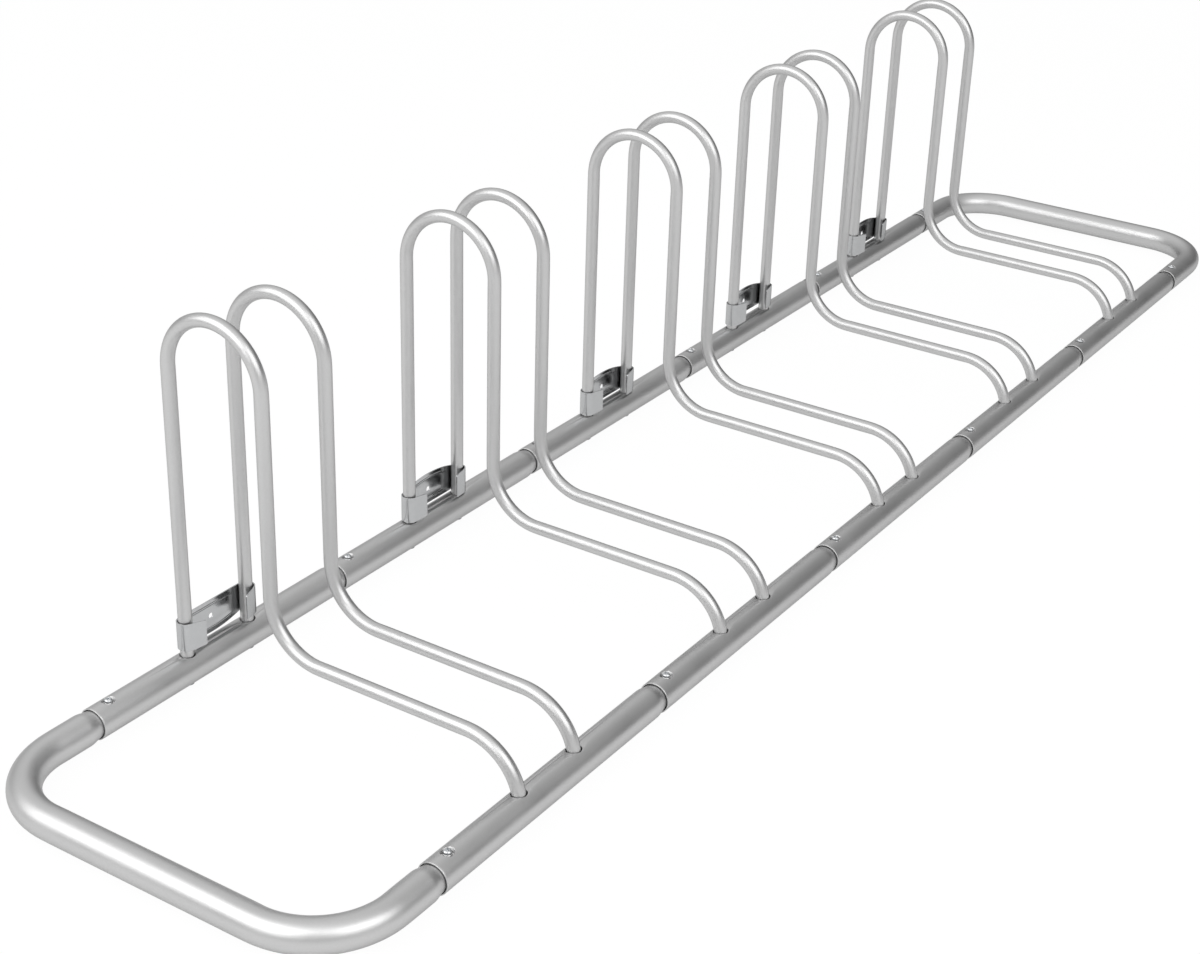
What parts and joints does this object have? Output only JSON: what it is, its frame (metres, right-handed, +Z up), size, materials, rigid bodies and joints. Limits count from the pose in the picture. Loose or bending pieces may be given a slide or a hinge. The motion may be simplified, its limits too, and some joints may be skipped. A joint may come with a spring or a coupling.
{
  "type": "floor bike rack",
  "caption": "Low floor stand for parking bicycles side by side: paired bent-tube hoops between two sectional rails with rounded end loops, and sliding clips behind the hoops.",
  "frame": {"origin": "middle of the rack at floor level, under the screw heads that it stands on", "axes": "+X along the rails, +Y from the front rail to the rear rail that carries the upright legs, +Z up"},
  "size_m": [1.783, 0.371, 0.348],
  "materials": {
    "rail_tube": "satin silver metallic coating",
    "hoop_tube": "satin silver metallic coating",
    "clip_sheet": "smooth zinc plated sheet",
    "zinc_screw": "bright zinc plated",
    "steel_insert": "plain turned steel"
  },
  "bodies": {
    "rack": {"left_end_loop": "rail_tube", "right_end_loop": "rail_tube", "rear_rail_1": "rail_tube", "rear_rail_2": "rail_tube", "rear_rail_3": "rail_tube", "rear_rail_4": "rail_tube", "rear_rail_5": "rail_tube", "front_rail_1": "rail_tube", "front_rail_2": "rail_tube", "front_rail_3": "rail_tube", "front_rail_4": "rail_tube", "front_rail_5": "rail_tube", "hoop_1_left": "hoop_tube", "hoop_1_right": "hoop_tube", "hoop_2_left": "hoop_tube", "hoop_2_right": "hoop_tube", "hoop_3_left": "hoop_tube", "hoop_3_right": "hoop_tube", "hoop_4_left": "hoop_tube", "hoop_4_right": "hoop_tube", "hoop_5_left": "hoop_tube", "hoop_5_right": "hoop_tube", "joint_screws": "zinc_screw", "leg_screws": "zinc_screw", "leg_inserts": "steel_insert"},
    "clip_1": {"clip_1": "clip_sheet"},
    "clip_2": {"clip_2": "clip_sheet"},
    "clip_3": {"clip_3": "clip_sheet"},
    "clip_4": {"clip_4": "clip_sheet"},
    "clip_5": {"clip_5": "clip_sheet"}
  },
  "joints": [
    {"name": "clip_1_slide", "type": "slide", "parent": "rack", "child": "clip_1", "axis": [0, 0, 1], "range_m": [0, 0.23]},
    {"name": "clip_2_slide", "type": "slide", "parent": "rack", "child": "clip_2", "axis": [0, 0, 1], "range_m": [0, 0.236]},
    {"name": "clip_3_slide", "type": "slide", "parent": "rack", "child": "clip_3", "axis": [0, 0, 1], "range_m": [0, 0.236]},
    {"name": "clip_4_slide", "type": "slide", "parent": "rack", "child": "clip_4", "axis": [0, 0, 1], "range_m": [-0.0025, 0.233]},
    {"name": "clip_5_slide", "type": "slide", "parent": "rack", "child": "clip_5", "axis": [0, 0, 1], "range_m": [0, 0.236]}
  ]
}
